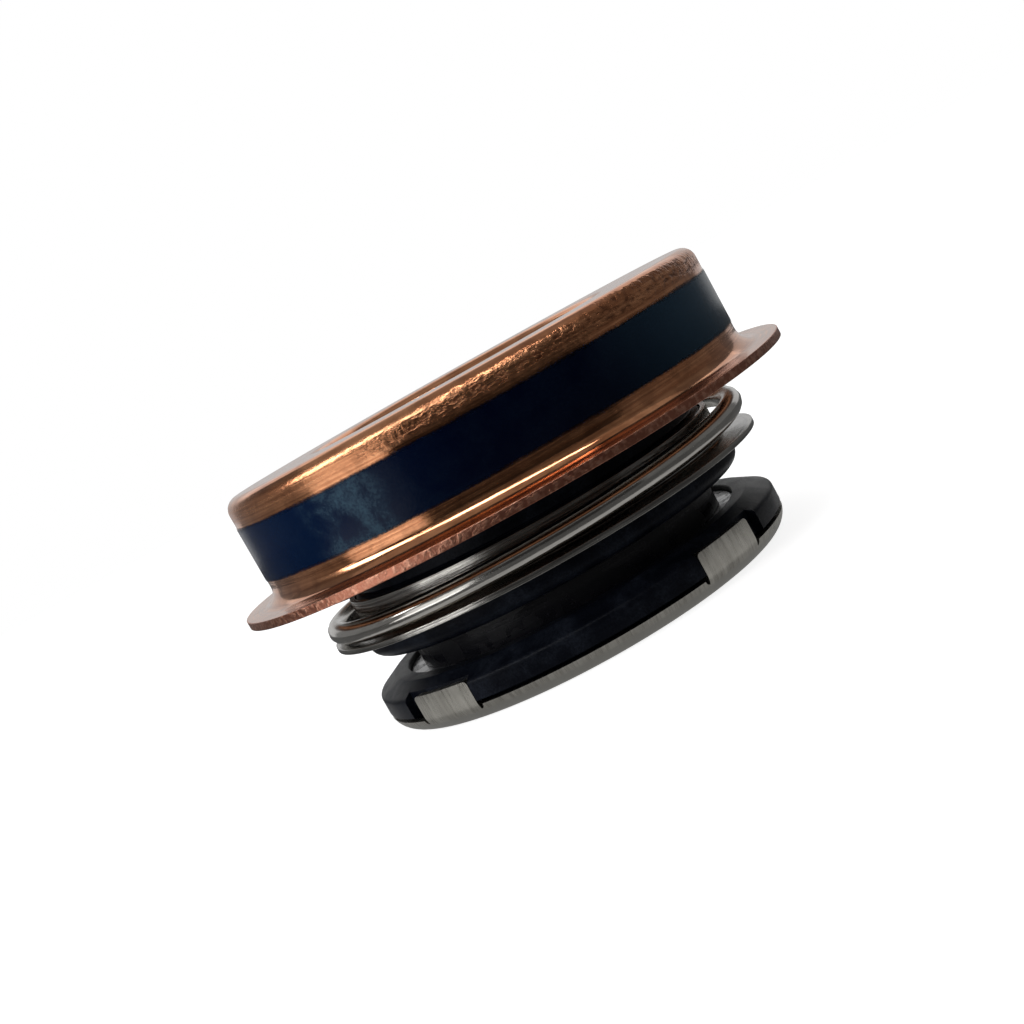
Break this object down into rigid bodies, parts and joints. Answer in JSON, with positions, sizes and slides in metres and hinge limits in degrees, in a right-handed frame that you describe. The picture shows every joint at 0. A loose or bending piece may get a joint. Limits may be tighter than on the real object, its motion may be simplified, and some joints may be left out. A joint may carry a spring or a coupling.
{
  "type": "water pump seal",
  "caption": "Cartridge face seal for a water pump: flanged press-in case, coil spring, rubber bellows, carbon and mating rings on a shaft sleeve.",
  "frame": {"origin": "centre of the drive plate's underside, on the shaft axis", "axes": "+Z along the shaft axis, from the drive plate to the closed end of the case; -Y is the side with the start of the open coil"},
  "size_m": [0.0414, 0.0414, 0.0198],
  "materials": {
    "copper_case": "copper-coloured drawn sheet, worn satin",
    "blue_lacquer": "dark blue sealing lacquer, satin",
    "stainless_sheet": "satin stainless sheet",
    "bellows_rubber": "moulded black rubber",
    "spring_wire": "polished stainless wire",
    "carbon": "machined carbon graphite",
    "hard_ceramic": "lapped silicon carbide",
    "seat_rubber": "moulded black rubber",
    "sleeve_steel": "satin stainless sheet"
  },
  "bodies": {
    "case": {"shell": "copper_case", "sealant_band": "blue_lacquer", "clamp_ring": "stainless_sheet", "bellows": "bellows_rubber", "spring": "spring_wire"},
    "head": {"spring_collar": "stainless_sheet", "carbon_ring": "carbon"},
    "rotor": {"mating_ring": "hard_ceramic", "seat_cup": "seat_rubber", "sleeve": "sleeve_steel"}
  },
  "joints": [
    {"name": "head_slide", "type": "slide", "parent": "case", "child": "head", "axis": [0, 0, 1], "range_m": [0, 0.003], "stiffness_N_per_m": 650, "springref_m": -0.004, "deforming": ["spring", "bellows"]},
    {"name": "seat_spin", "type": "hinge", "parent": "head", "child": "rotor", "pos_m": [0, 0, 0.0032], "axis": [0, 0, 1], "continuous": true}
  ]
}
